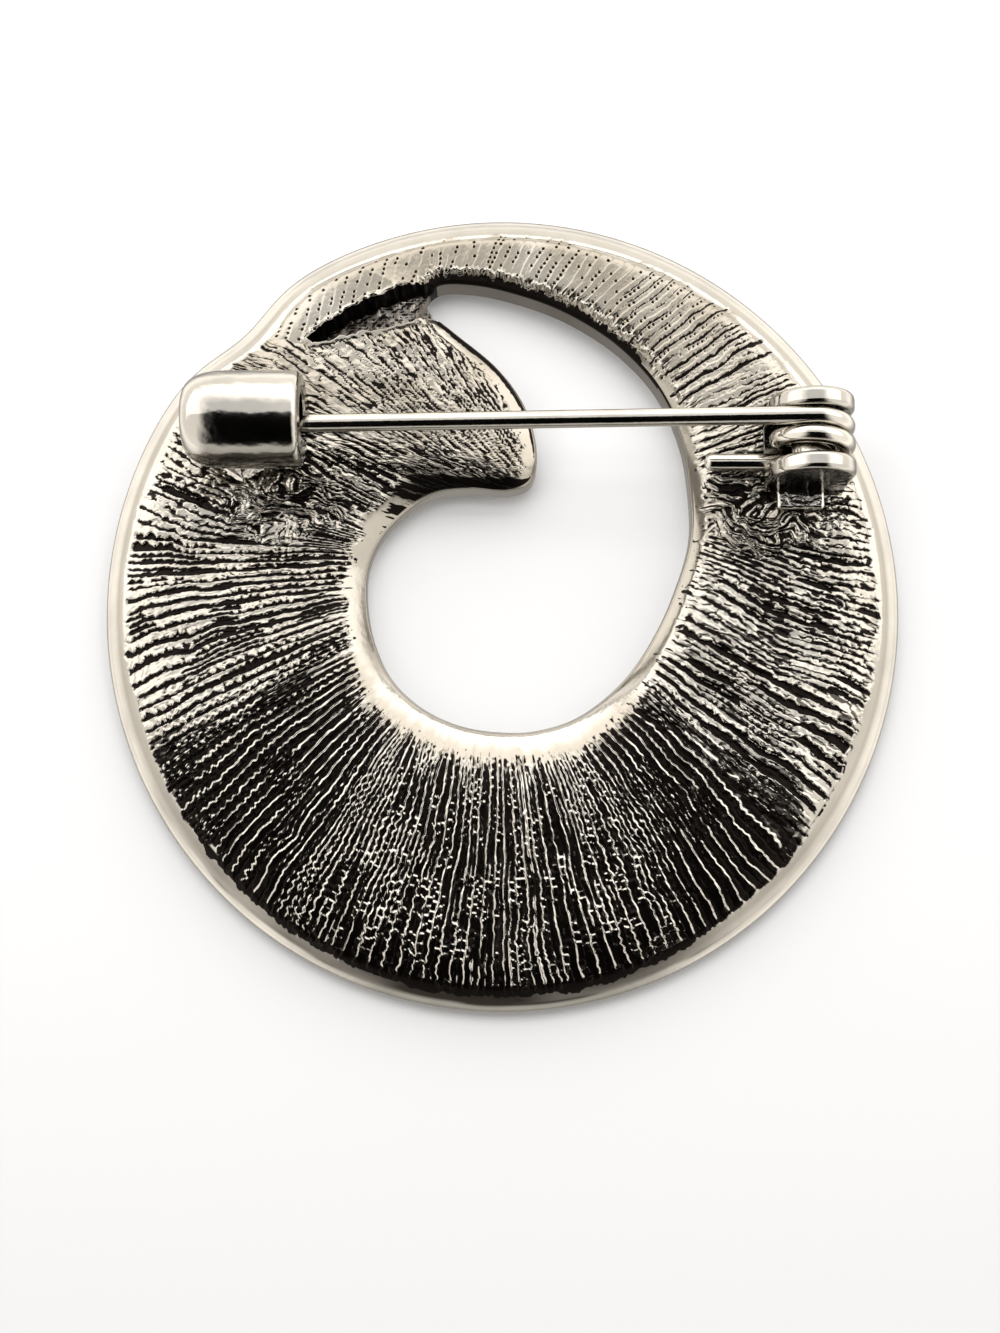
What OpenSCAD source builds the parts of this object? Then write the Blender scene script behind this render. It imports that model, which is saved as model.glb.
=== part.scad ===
// Openwork enamel brooch with a sprung pin, lying on its front: +Z is the back's normal.

/* [Plate] */
// Width of the plate, along the pin
plate_w = 38; // [34:0.5:44]
// Length of the plate, across the pin
plate_l = 38.5; // [34:0.5:44]
// Height of the back where its rounded edge ends
edge_h = 1.6; // [1.4:0.1:2]
// How far the back's middle stands above that
crown_h = 0.4; // [0.2:0.1:0.8]
// Height of the thin lip round the front
lip_h = 0.7; // [0.5:0.1:0.9]
// How far the lip stands out beyond the back
lip_w = 0.3; // [0.2:0.05:0.5]
// Width of the rounded outer edge of the back
round_w = 0.95; // [0.6:0.05:1.2]
// Depth of the shallow dent in the outline, where the ring's tip meets its head
dent_depth = 0.7; // [0:0.1:1.2]
// Direction of the dent, from the plate's middle
dent_at = 134; // [131:1:137]
// Half width of the dent
dent_span = 8; // [6:0.5:10]

/* [Ribs] */
// Number of plate sections between two stations of the hole's outline
sections_each = 6; // [2:2:8]
// Height of a cast rib over the grooves beside it
rib_h = 0.16; // [0.05:0.01:0.3]

/* [Recess] */
// Height of the rough floor between the ring's tip and its head
recess_floor = 0.8; // [0.7:0.05:1.2]

/* [Enamel] */
// Width of the metal rim round the enamel
front_rim_w = 0.9; // [0.7:0.05:1.2]
// Depth of the pocket that holds the enamel
pocket_depth = 0.55; // [0.4:0.05:0.6]
// How far the enamel lies below the rim
enamel_sunk = 0.1; // [0.05:0.05:0.2]
// Gap between the enamel and the metal round it
enamel_gap = 0.05; // [0.03:0.01:0.1]
// Width of the metal wall between the two ends of the enamel
cell_wall_w = 0.6; // [0.4:0.1:1]

/* [Catch] */
// Distance of the pin from the plate's middle
pin_y = 7.65; // [7:0.05:8.2]
// Diameter of the barrel
barrel_d = 4.5; // [4.3:0.1:4.8]
// Length of the barrel
barrel_len = 5.5; // [5:0.1:5.8]
// Radius of the barrel's closed end
barrel_round = 1.2; // [0.8:0.1:1.6]
// Gap between the barrel and the top of the back
barrel_gap = 0.1; // [0.08:0.02:0.3]
// Diameter of the bore that holds the pin
bore_d = 2.1; // [2:0.05:2.3]
// Depth of the bore
bore_depth = 2.7; // [2.6:0.1:2.8]
// Width of the slot under the bore, where the pin is pressed out
slot_w = 1.15; // [1.1:0.05:1.15]

/* [Hinge] */
// Width of an ear, and diameter of its round top
ear_d = 3.94; // [3.8:0.02:4.1]
// Thickness of an ear
ear_t = 0.78; // [0.7:0.02:0.9]
// Diameter of the rivet through the ears
rivet_d = 1.9; // [1.7:0.1:2]

/* [Pin] */
// Diameter of the wire
wire_d = 0.82; // [0.78:0.01:0.84]
// Radius of the coil, at the middle of the wire
coil_r = 1.56; // [1.5:0.01:1.6]
// Distance between neighbouring turns
coil_pitch = 0.87; // [0.86:0.01:0.9]
// Length of the pin's taper
taper_len = 2.2; // [1.6:0.1:3]
// Gap between the coil and the top of the back
coil_gap = 0.2; // [0.15:0.05:0.4]

/* [Hidden] */
eps = 0.01;
wire_sides = 12;
turn_steps = 24;

// Stations of the plate, counter-clockwise: a point on the hole's edge, the direction in which the section
// through it meets the outline, and the width of the rounded edge of the back along the hole
HOLE_X = 0;
HOLE_Y = 1;
RIM_AT = 2;
EDGE_W = 3;
stations = [
    [9.05, 3.25, 0, 0.6],
    [8.95, 6.2, 24, 0.6],
    [8.55, 8.15, 36, 0.55],
    [7.8, 9.95, 45.5, 0.5],
    [6.7, 11.5, 54, 0.45],
    [4.95, 13.1, 64, 0.4],
    [2.55, 14.5, 75.5, 0.4],
    [-0.1, 15.4, 87, 0.4],
    [-2, 15.7, 94.5, 0.4],
    [-3.15, 15.6, 101, 0.4],
    [-3.75, 14.95, 114, 0.4],
    [-3.4, 14.2, 128, 0.5],
    [-2.35, 13.3, 132.5, 0.6],
    [-0.25, 11.5, 135.5, 0.7],
    [1.1, 9.55, 138, 0.8],
    [1.65, 7.45, 140.5, 0.8],
    [1.4, 5.85, 142.5, 0.6],
    [0.2, 5.35, 144.5, 0.8],
    [-1.5, 5.45, 147, 1],
    [-3.2, 5.25, 150.5, 1],
    [-4.6, 4.4, 156, 1],
    [-5.8, 3.1, 166, 1],
    [-6.45, 1.5, 178, 1],
    [-6.45, -0.45, 191.5, 1],
    [-6.05, -2.15, 204, 1],
    [-5.25, -3.75, 219.5, 1],
    [-3.9, -5.05, 236.5, 1],
    [-2.2, -5.9, 252.5, 1],
    [-0.35, -6.25, 269, 1],
    [1.6, -6.2, 285.5, 1],
    [3.65, -5.5, 302.5, 1],
    [5.65, -3.9, 320.5, 0.9],
    [7.1, -1.9, 334, 0.7],
    [8.25, 0.5, 346.5, 0.6]
];

// Walls of the recess, from its outer end to the hole: the wall beside the ring's tip, then the head's
tip_wall = [[-9.45, 12.75], [-8.9, 13.3], [-7.9, 13.95], [-6.45, 14.75], [-5, 15.3], [-3.5, 15.55], [-2.7, 15.45]];
head_wall = [[-2.9, 13.95], [-4.1, 13.6], [-6.65, 13.05], [-8.4, 12.7], [-9.2, 12.45]];

scale_x = plate_w / 38;
scale_y = plate_l / 38.5;
station_n = len(stations);
section_n = station_n * sections_each;
// How low the base of anything soldered to the back reaches into it
root_z = 1.2;
back_top = edge_h + crown_h;

dent_point = [(plate_w / 2 - dent_depth) * cos(dent_at), (plate_l / 2 - dent_depth) * sin(dent_at)];
// Where the cell wall on the front ends, in the rim at the hole's outer corner
cell_wall_to = [-4.1 * scale_x, 14.85 * scale_y];

barrel_x = [4.25 - plate_w / 2, 4.25 - plate_w / 2 + barrel_len];
barrel_y = pin_y + 0.28;
barrel_z = back_top + barrel_gap + barrel_d / 2;
bore_y = pin_y + 0.45;
bore_z = barrel_z + 0.25;
foot_x = [barrel_x[0] + 1.25, barrel_x[0] + 3.25];
foot_y = [barrel_y - 1.85, barrel_y + 1.1];
foot_toe = 1.15;
foot_top = barrel_z - 1.15;

coil_x = plate_w / 2 - 4.65;
coil_z = back_top + coil_gap + coil_r + wire_d / 2;
coil_y = pin_y + 0.09;
mouth_y = pin_y - 0.05;
mouth_z = bore_z + 0.25;
tip_x = barrel_x[1] - 1.65;
point_r = 0.06;
// The wire makes a turn and a half; the pin takes this much of it along, and the rest stays
turns = 1.5;
stem_turns = 1.3;
split_turns = 0.02;
tail_len = 4.8;

ear_ys = [pin_y - 2.45, pin_y + 0.57];
pad_top = back_top + 0.12;
pad_x = [coil_x - 1.9, coil_x + 1.9];
tab_x = [coil_x - 1.4, coil_x + 0.85];
tab_y = ear_ys[0] - 1.05;
tab_top = pad_top + 0.45;

// A value at t between b and c on a smooth curve through four neighbouring values
function smooth(a, b, c, d, t) =
    0.5 * (2 * b + (c - a) * t + (2 * a - 5 * b + 4 * c - d) * t * t + (3 * b - a - 3 * c + d) * t * t * t);

// One column of a station, where the directions go on past a full turn
function column(i, c) =
    stations[(i + station_n) % station_n][c] + (c == RIM_AT ? 360 * floor(i / station_n) : 0);
function along(k, c) =
    let (i = floor(k / sections_each), t = k / sections_each - i)
    smooth(column(i - 1, c), column(i, c), column(i + 1, c), column(i + 2, c), t);

function hole_point(k) = [along(k, HOLE_X) * scale_x, along(k, HOLE_Y) * scale_y];
function dent(a) = dent_depth * exp(-pow((a - dent_at) / dent_span, 2));
function rim_point(k) =
    let (a = along(k, RIM_AT))
    [(plate_w / 2 - dent(a)) * cos(a), (plate_l / 2 - dent(a)) * sin(a)];

function unit(v) = v / norm(v);
// How steeply a section meets the edge through three neighbouring points, from 0.5 to 1
function facing(before, after, dir) = max(0.5, abs(cross(unit(after - before), dir)));

// One section, over the back and then under the front, from points as [distance from the hole's edge, height]
function section(k) =
    let (
        inner = hole_point(k),
        outer = rim_point(k),
        length = norm(outer - inner),
        dir = (outer - inner) / length,
        face_in = facing(hole_point(k - 1), hole_point(k + 1), dir),
        face_out = facing(rim_point(k - 1), rim_point(k + 1), dir),
        edge_in = min(along(k, EDGE_W) / face_in, 0.3 * length),
        edge_out = length - (lip_w + round_w) / face_out,
        lip_in = length - lip_w / face_out,
        half_rib = (k % 2 == 0 ? 0.5 : -0.5) * rib_h,
        field = edge_out - edge_in,
        crown = min(crown_h, field * 0.12),
        profile = [
            [0, lip_h],
            [0.3 * edge_in, lip_h + 0.65 * (edge_h - lip_h)],
            [edge_in, edge_h],
            [edge_out - 0.88 * field, edge_h + 0.42 * crown + half_rib],
            [edge_out - 0.64 * field, edge_h + 0.92 * crown + half_rib],
            [edge_out - 0.36 * field, edge_h + 0.92 * crown + half_rib],
            [edge_out - 0.12 * field, edge_h + 0.42 * crown + half_rib],
            [edge_out, edge_h],
            [lip_in - 0.25 * round_w / face_out, lip_h + 0.62 * (edge_h - lip_h)],
            [lip_in, lip_h + 0.1],
            [length, lip_h],
            [length, 0],
            [length - front_rim_w / face_out, 0],
            [length - front_rim_w / face_out, pocket_depth],
            [front_rim_w / face_in, pocket_depth],
            [front_rim_w / face_in, 0],
            [0, 0]
        ]
    )
    [for (p = profile) [inner.x + dir.x * p[0], inner.y + dir.y * p[0], p[1]]];

// Faces of a closed grid of rings with the same number of points each
function ring_faces(rings, points, closed) = [
    for (k = [0 : rings - (closed ? 1 : 2)], r = [0 : points - 1])
        let (k2 = (k + 1) % rings, r2 = (r + 1) % points)
        each [
            [k * points + r, k2 * points + r2, k * points + r2],
            [k * points + r, k2 * points + r, k2 * points + r2]
        ]
];

module plate() {
    polyhedron(
        points = [for (k = [0 : section_n - 1]) each section(k)],
        faces = ring_faces(section_n, 17, true)
    );
}

module recess_cut() {
    translate([0, 0, recess_floor])
        linear_extrude(3)
        polygon([for (p = concat(tip_wall, head_wall)) [p.x * scale_x, p.y * scale_y]]);
}

// A bar of the given width from one point to another, in the XY plane
module bar(from, to, width) {
    dir = unit(to - from);
    side = [-dir.y, dir.x] * width / 2;
    polygon([from + side, to + side, to - side, from - side]);
}

// The cell wall's line runs from the dent to the hole's outer corner, set back from the dent by the given length
module cell_line(set_back, width) {
    dir = unit(cell_wall_to - dent_point);
    bar(dent_point + dir * set_back, cell_wall_to, width);
}

module cell_wall() {
    translate([0, 0, enamel_sunk / 2])
        linear_extrude(pocket_depth + 0.2 - enamel_sunk / 2)
        cell_line(0.6 * front_rim_w, cell_wall_w);
}

// A round bar along X between two places, with its axis through y and z
module bar_x(xs, y, z, d) {
    translate([xs[0], y, z])
        rotate([0, 90, 0])
        cylinder(d = d, h = xs[1] - xs[0], $fn = 64);
}

// The barrel's shape, turned about its own axis, closed and rounded at its start
module barrel_solid() {
    translate([barrel_x[0], barrel_y, barrel_z])
        rotate([0, 90, 0])
        rotate_extrude($fn = 64)
        union() {
            translate([0, barrel_round])
                square([barrel_d / 2, barrel_len - barrel_round]);
            square([barrel_d / 2 - barrel_round, barrel_round + eps]);
            intersection() {
                translate([barrel_d / 2 - barrel_round, barrel_round])
                    circle(barrel_round, $fn = 64);
                translate([barrel_d / 2 - barrel_round - eps, 0])
                    square([barrel_round + eps, barrel_round + eps]);
            }
        }
}

module barrel() {
    difference() {
        barrel_solid();
        bar_x([barrel_x[1] - bore_depth, barrel_x[1] + 1], bore_y, bore_z, bore_d);
        translate([foot_x[1] + 0.2, pin_y - slot_w / 2, 0])
            cube([3, slot_w, bore_z]);
    }
}

// The block under the barrel, with its sloped toe of solder
module foot() {
    translate([foot_x[0], 0, 0])
        rotate([90, 0, 90])
        linear_extrude(foot_x[1] - foot_x[0])
        polygon([
            [foot_y[0] - foot_toe, root_z],
            [foot_y[0] - foot_toe, back_top - 0.05],
            [foot_y[0], foot_top],
            [foot_y[1], foot_top],
            [foot_y[1], root_z]
        ]);
}

module ear(y) {
    translate([coil_x, y + ear_t, 0])
        rotate([90, 0, 0])
        linear_extrude(ear_t)
        union() {
            translate([0, coil_z])
                circle(d = ear_d, $fn = 64);
            translate([-ear_d / 2, root_z])
                square([ear_d, coil_z - root_z]);
        }
}

// The ears, the pad between them, the tab in front and the rivet that the coil goes round
module bracket() {
    translate([pad_x[0], ear_ys[0] + 0.2, root_z])
        cube([pad_x[1] - pad_x[0], ear_ys[1] - ear_ys[0], pad_top - root_z]);
    translate([tab_x[0], tab_y, root_z])
        cube([tab_x[1] - tab_x[0], ear_ys[0] + 0.2 - tab_y, tab_top - root_z]);
    for (y = ear_ys)
        ear(y);
    translate([coil_x, ear_ys[1] + 0.2, coil_z])
        rotate([90, 0, 0])
        cylinder(d = rivet_d, h = ear_ys[1] - ear_ys[0] - ear_t + 0.4, $fn = 48);
}

module body_casting() {
    color("silver") {
        difference() {
            plate();
            recess_cut();
        }
        cell_wall();
        barrel();
        foot();
        bracket();
    }
}

module enamel_inlay() {
    inset = front_rim_w + enamel_gap;
    inner = [for (k = [0 : section_n - 1]) enamel_point(k, hole_point(k), rim_point(k), inset)];
    outer = [for (k = [0 : section_n - 1]) enamel_point(k, rim_point(k), hole_point(k), inset)];
    color("midnightblue")
        translate([0, 0, enamel_sunk])
        linear_extrude(pocket_depth - enamel_gap - enamel_sunk)
        difference() {
            polygon(outer);
            polygon(inner);
            cell_line(-2, cell_wall_w + 2 * enamel_gap);
        }
}

// A point on section k, set in from one of its ends by the given width of rim
function enamel_point(k, from, to, inset) =
    let (
        dir = unit(to - from),
        at_hole = norm(from - hole_point(k)) < eps,
        face = at_hole
            ? facing(hole_point(k - 1), hole_point(k + 1), dir)
            : facing(rim_point(k - 1), rim_point(k + 1), dir)
    )
    from + dir * inset / face;

// The wire's middle on its coil after the given number of turns from the top
function coil_point(turn) = [
    coil_x + coil_r * sin(360 * turn),
    coil_y - coil_pitch * turn,
    coil_z + coil_r * cos(360 * turn)
];

// A tube round a row of points, with a radius for each
module wire(path, radii) {
    n = len(path);
    rings = [
        for (i = [0 : n - 1])
            let (
                dir = unit(path[min(i + 1, n - 1)] - path[max(i - 1, 0)]),
                side = unit(cross([0, 1, 0], dir)),
                up = cross(dir, side)
            )
            for (j = [0 : wire_sides - 1])
                path[i] + radii[i] * (cos(360 * j / wire_sides) * side + sin(360 * j / wire_sides) * up)
    ];
    polyhedron(
        points = rings,
        faces = concat(
            ring_faces(n, wire_sides, false),
            [[for (j = [0 : wire_sides - 1]) j]],
            [[for (j = [wire_sides - 1 : -1 : 0]) (n - 1) * wire_sides + j]]
        )
    );
}

module pin_stem() {
    top = coil_point(0);
    mouth = [barrel_x[1], mouth_y, mouth_z];
    line = (mouth - top) / (mouth.x - top.x);
    taper_x = tip_x + taper_len;
    straight = [for (x = [tip_x, tip_x + 0.4, taper_x, coil_x / 3]) top + line * (x - top.x)];
    steps = round(stem_turns * turn_steps);
    coil = [for (i = [0 : steps]) coil_point(i / turn_steps)];
    r = wire_d / 2;
    color("gainsboro")
        wire(concat(straight, coil), concat([point_r, 0.45 * r], [for (i = [1 : 2 + len(coil)]) r]));
}

module spring_tail() {
    steps = 8;
    from = stem_turns + split_turns;
    coil = [for (i = [0 : steps - 1]) coil_point(from + (turns - from) * i / steps)];
    bottom = coil_point(turns);
    leg = [for (x = [0, tail_len - 0.25, tail_len - 0.07, tail_len]) [bottom.x - x, bottom.y, bottom.z]];
    r = wire_d / 2;
    color("gainsboro")
        wire(concat(coil, leg), concat([for (p = coil) r], [r, r, 0.7 * r, 0.3 * r]));
}

body_casting();
enamel_inlay();
pin_stem();
spring_tail();
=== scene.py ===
import math

import bmesh
import bpy
import numpy as np
from mathutils import Matrix, Vector


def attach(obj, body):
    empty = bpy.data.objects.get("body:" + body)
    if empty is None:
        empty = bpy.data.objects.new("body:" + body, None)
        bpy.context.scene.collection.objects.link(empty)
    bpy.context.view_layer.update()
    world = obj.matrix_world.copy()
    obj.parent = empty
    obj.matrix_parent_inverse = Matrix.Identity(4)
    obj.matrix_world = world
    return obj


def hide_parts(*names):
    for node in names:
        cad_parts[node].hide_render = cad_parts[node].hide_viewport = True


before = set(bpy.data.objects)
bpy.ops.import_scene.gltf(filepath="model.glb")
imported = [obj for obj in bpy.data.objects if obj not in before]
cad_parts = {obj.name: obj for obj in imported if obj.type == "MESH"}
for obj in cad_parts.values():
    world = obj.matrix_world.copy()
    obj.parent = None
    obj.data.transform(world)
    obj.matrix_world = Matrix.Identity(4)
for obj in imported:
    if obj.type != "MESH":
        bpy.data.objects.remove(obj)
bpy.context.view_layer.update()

MM = 0.001

# Sizes in mm, as in the part's source
PLATE_W, PLATE_L = 38.0, 38.5
EDGE_H, CROWN_H = 1.6, 0.4
LIP_H, LIP_W, ROUND_W = 0.7, 0.3, 0.95
DENT_DEPTH, DENT_AT, DENT_SPAN = 0.7, 134.0, 8.0
RECESS_FLOOR = 0.8
RIM_W, POCKET, CELL_WALL = 0.9, 0.55, 0.6
PIN_Y = 7.65
BARREL_D, BARREL_LEN = 4.5, 5.5
BORE_D, BORE_DEPTH, SLOT_W = 2.1, 2.7, 1.15
EAR_D, EAR_T, RIVET_D = 3.94, 0.78, 1.9
WIRE_D, COIL_R, COIL_PITCH = 0.82, 1.56, 0.87

BACK_TOP = EDGE_H + CROWN_H
BARREL_X = (4.25 - PLATE_W / 2, 4.25 - PLATE_W / 2 + BARREL_LEN)
BARREL_Y, BARREL_Z = PIN_Y + 0.28, BACK_TOP + 0.1 + BARREL_D / 2
BORE_Y, BORE_Z = PIN_Y + 0.45, BARREL_Z + 0.25
FOOT_X = (BARREL_X[0] + 1.25, BARREL_X[0] + 3.25)
FOOT_Y = (BARREL_Y - 1.85, BARREL_Y + 1.1)
FOOT_TOP = BARREL_Z - 1.15
COIL_X, COIL_Y = PLATE_W / 2 - 4.65, PIN_Y + 0.09
COIL_Z = BACK_TOP + 0.2 + COIL_R + WIRE_D / 2
EAR_YS = (PIN_Y - 2.45, PIN_Y + 0.57)
PAD_TOP = BACK_TOP + 0.12
TAB_Y = EAR_YS[0] - 1.05

# Stations of the plate: a point on the hole's edge, the direction of the section through it, and the width of the
# rounded edge along the hole
STATIONS = np.array([
    (9.05, 3.25, 0, 0.6),
    (8.95, 6.2, 24, 0.6),
    (8.55, 8.15, 36, 0.55),
    (7.8, 9.95, 45.5, 0.5),
    (6.7, 11.5, 54, 0.45),
    (4.95, 13.1, 64, 0.4),
    (2.55, 14.5, 75.5, 0.4),
    (-0.1, 15.4, 87, 0.4),
    (-2, 15.7, 94.5, 0.4),
    (-3.15, 15.6, 101, 0.4),
    (-3.75, 14.95, 114, 0.4),
    (-3.4, 14.2, 128, 0.5),
    (-2.35, 13.3, 132.5, 0.6),
    (-0.25, 11.5, 135.5, 0.7),
    (1.1, 9.55, 138, 0.8),
    (1.65, 7.45, 140.5, 0.8),
    (1.4, 5.85, 142.5, 0.6),
    (0.2, 5.35, 144.5, 0.8),
    (-1.5, 5.45, 147, 1),
    (-3.2, 5.25, 150.5, 1),
    (-4.6, 4.4, 156, 1),
    (-5.8, 3.1, 166, 1),
    (-6.45, 1.5, 178, 1),
    (-6.45, -0.45, 191.5, 1),
    (-6.05, -2.15, 204, 1),
    (-5.25, -3.75, 219.5, 1),
    (-3.9, -5.05, 236.5, 1),
    (-2.2, -5.9, 252.5, 1),
    (-0.35, -6.25, 269, 1),
    (1.6, -6.2, 285.5, 1),
    (3.65, -5.5, 302.5, 1),
    (5.65, -3.9, 320.5, 0.9),
    (7.1, -1.9, 334, 0.7),
    (8.25, 0.5, 346.5, 0.6),
])
HOLE_X, HOLE_Y, RIM_AT, EDGE_W = range(4)

# How the cast back looks in each direction from the middle: the pitch of its ribs and how many are split in two,
# the slope of their broad side, the width of the grooves between them, the height of thin raised lines, how beaded
# the ribs are, how hatched, the rows of pits, the long gashes, the drop of the edge along the hole, how far the
# painted shade below it runs on, how much painted shade the hole's wall and the rim's outer edge get, how far the
# ribs lean clockwise, in degrees, and how tarnished the surface is
ZONES = np.array([
    (0, 0.66, 0.7, 0.18, 0.11, 0.01, 0.2, 1, 0, 0.6, 0.75, -2, 0.2, 0, 0, 0.4),
    (22, 0.62, 0.6, 0.16, 0.1, 0.01, 0.1, 0.9, 0, 0.5, 0.6, -2, 0.4, 0, 0, 0.4),
    (42, 0.56, 0.3, 0.1, 0.06, 0.016, 0.1, 0.4, 0.2, 0.4, 0.3, -2, 0.8, 0, 0, 0.7),
    (56, 0.56, 0.2, 0.03, 0.03, 0.022, 0.1, 0.1, 0.8, 0.1, 0.15, -0.1, 0.9, 0, 6, 1),
    (72, 0.54, 0, 0, 0, 0.028, 0, 0, 1, 0, 0.1, -0.05, 1, 0, 12, 1),
    (114, 0.54, 0, 0, 0, 0.02, 0, 0, 1, 0, 0.1, 0, 1, 0, 12, 1),
    (122, 0.45, 0, 0.1, 0.06, 0.01, 0, 0.6, 0.2, 0, 0.2, -2, 0.8, 0, 0, 0.9),
    (130, 0.5, 0.5, 0.14, 0.08, 0.012, 0, 1, 0, 0, 0.4, -0.45, 0.5, 0, 0, 0.6),
    (139, 0.5, 0.5, 0.14, 0.1, 0.012, 0, 1, 0, 0.2, 0.4, -0.66, 0.4, 0, 8, 0.9),
    (142, 0.5, 0.5, 0.14, 0.1, 0.012, 0, 1, 0, 0.2, 0.4, -0.58, 0.2, 0, 8, 0.9),
    (144, 0.5, 0.5, 0.16, 0.12, 0.012, 0, 1, 0, 0.3, 0.35, 0.25, 0.1, 0, 10, 0.7),
    (149, 0.56, 0.6, 0.16, 0.13, 0.01, 0.1, 1, 0, 0.5, 0.35, 0.05, 0.1, 0, 14, 0.5),
    (154, 0.6, 0.7, 0.16, 0.14, 0.01, 0.2, 1, 0, 0.7, 0.6, -0.35, 0.2, 0, 16, 0.45),
    (160, 0.58, 0.7, 0.16, 0.14, 0.01, 0.3, 1, 0, 0.8, 0.7, -0.65, 0.3, 0, 15, 0.4),
    (165, 0.56, 0.6, 0.17, 0.15, 0.01, 0.4, 0.9, 0, 0.8, 0.75, -1.4, 0.3, 0, 14, 0.3),
    (173, 0.48, 0.4, 0.18, 0.27, 0.01, 0.8, 0.4, 0, 0.5, 0.8, -2, 0.3, 0, 2, 0.45),
    (194, 0.46, 0.2, 0.16, 0.33, 0.018, 1, 0.2, 0, 0.2, 0.8, -2, 0.3, 0.1, -4, 0.4),
    (206, 0.47, 0.2, 0.07, 0.2, 0.052, 1, 0.1, 0, 0.1, 0.8, -2, 0.3, 0.2, -4, 0.2),
    (222, 0.52, 0.3, 0.01, 0.06, 0.065, 0.8, 0, 0, 0, 0.7, -2, 0.6, 0.5, -2, 0),
    (246, 0.51, 0.4, 0, 0.01, 0.065, 0.6, 0, 0, 0, 0.6, -2, 0.6, 0.9, 0, 0),
    (270, 0.5, 0.45, 0, 0, 0.065, 0.5, 0, 0, 0, 0.6, -2, 0.6, 1, 0, 0),
    (296, 0.53, 0.4, 0, 0.01, 0.065, 0.4, 0, 0, 0, 0.6, -2, 0.6, 0.6, 0, 0),
    (315, 0.58, 0.4, 0.02, 0.08, 0.062, 0.3, 0, 0, 0, 0.7, -2, 0.6, 0.3, 0, 0),
    (326, 0.66, 0.5, 0.1, 0.18, 0.035, 0.5, 0.4, 0, 0.7, 0.8, -2, 0.3, 0.2, 0, 0.1),
    (336, 0.68, 0.6, 0.16, 0.16, 0.02, 0.4, 0.8, 0, 0.9, 0.8, -2, 0.2, 0, 0, 0.3),
])
AT, PITCH, SPLIT, SLOPE, GROOVE, LINE, BEAD, HATCH, PITS, GASH = range(10)
DROP, EDGE_SHADE, WALL_SHADE, RIM_SHADE, LEAN, TARNISH = range(10, 16)

# The columns that say how ribs look
RIB_LOOK = (SPLIT, SLOPE, GROOVE, LINE, BEAD, HATCH, PITS, GASH)

# The head's own ribs fan out from this point, at this many degrees each; the ring's tip beyond the recess carries
# on the rows of the ring's upper part, which lean by this much
FAN_AT, FAN_STEP = (4.2, 1.6), 2.3
HEAD_LOOK = (0.5, 0.13, 0.08, 0.012, 0.15, 1, 0, 0.1)
ROW_LEAN, ROW_PITCH = 0.22, 0.55
TIP_LOOK = (0, 0, 0, 0.018, 0, 0, 1, 0)

# Puddles of solder: middle, half widths; and the folds in them
SOLDER = ((-10.4, 4.5, 3.3, 1.7), (12.4, 4.4, 3.6, 2.3))
FOLD_PITCH, FOLD_LEAN = 0.46, 0.45
FOLD_LOOK = (0.6, 0.14, 0.1, 0.014, 0.7, 0.6, 0, 0.35)

# The painted shade under the edge ends evenly up to HEAD_TO, and bright threads cross it from THREADS_FROM
HEAD_TO, THREADS_FROM = 144, 143

# The outline of the recess, as X and Y
RECESS = np.array([
    (-9.45, 12.75), (-8.9, 13.3), (-7.9, 13.95), (-6.45, 14.75), (-5, 15.3), (-3.5, 15.55), (-2.7, 15.45),
    (-2.9, 13.95), (-4.1, 13.6), (-6.65, 13.05), (-8.4, 12.7), (-9.2, 12.45),
])

# A line along the recess and on to the dent, as X and Y
RECESS_MIDDLE = ((-14, -12.6, -9.3, -6.5, -3.4), (13.9, 13.2, 12.6, 13.9, 15))

# Sections round the ring, pieces that they are shared out to, and rows of points on each part of the back
SECTIONS, SECTORS, UNDER_SECTIONS = 2500, 5, 680
TURN_ROWS, FIELD_ROWS, ROUND_ROWS = 12, 140, 14

# The relief is worked out at this many places for each section that the surface keeps
FINER = 2

# The top of the hole's wall, as distance below the edge's foot and distance from the hole
WALL_TOP = ((0.3, 0), (0.12, 0.015), (0.05, 0.05), (0.01, 0.1))
WALL_ROWS, TURN_IN = 6, 0.1

# The lip of the rim and the outline's wall, as share of the lip's width and height
LIP = ((0.12, LIP_H + 0.17), (0.5, LIP_H + 0.07), (0.85, LIP_H - 0.05), (1, LIP_H - 0.18))
LIP += ((1, 0.3), (1, 0.04), (1, 0))


def smoothstep(low, high, x):
    t = np.clip((x - low) / (high - low), 0, 1)
    return t * t * (3 - 2 * t)


def noise(x, y, seed, wrap=64):
    """Smooth noise from -1 to 1 on a lattice that repeats after wrap cells along x and 64 along y."""
    grid = np.random.default_rng(seed).random((wrap, 64)) * 2 - 1
    xi, yi = np.floor(x).astype(int), np.floor(y).astype(int)
    fx, fy = x - xi, y - yi
    sx, sy = fx * fx * (3 - 2 * fx), fy * fy * (3 - 2 * fy)
    x0, x1, y0, y1 = xi % wrap, (xi + 1) % wrap, yi % 64, (yi + 1) % 64
    low = grid[x0, y0] * (1 - sx) + grid[x1, y0] * sx
    high = grid[x0, y1] * (1 - sx) + grid[x1, y1] * sx
    return low * (1 - sy) + high * sy


def along(t, column):
    """A column of the stations at t, on a smooth closed curve; directions go on past a full turn."""
    n = len(STATIONS)
    i = np.floor(t).astype(int)
    f = t - i
    turn = 360 if column == RIM_AT else 0
    a, b, c, d = (STATIONS[(i + k) % n, column] + turn * ((i + k) // n) for k in (-1, 0, 1, 2))
    return 0.5 * (2 * b + (c - a) * f + (2 * a - 5 * b + 4 * c - d) * f**2 + (3 * b - a - 3 * c + d) * f**3)


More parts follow.
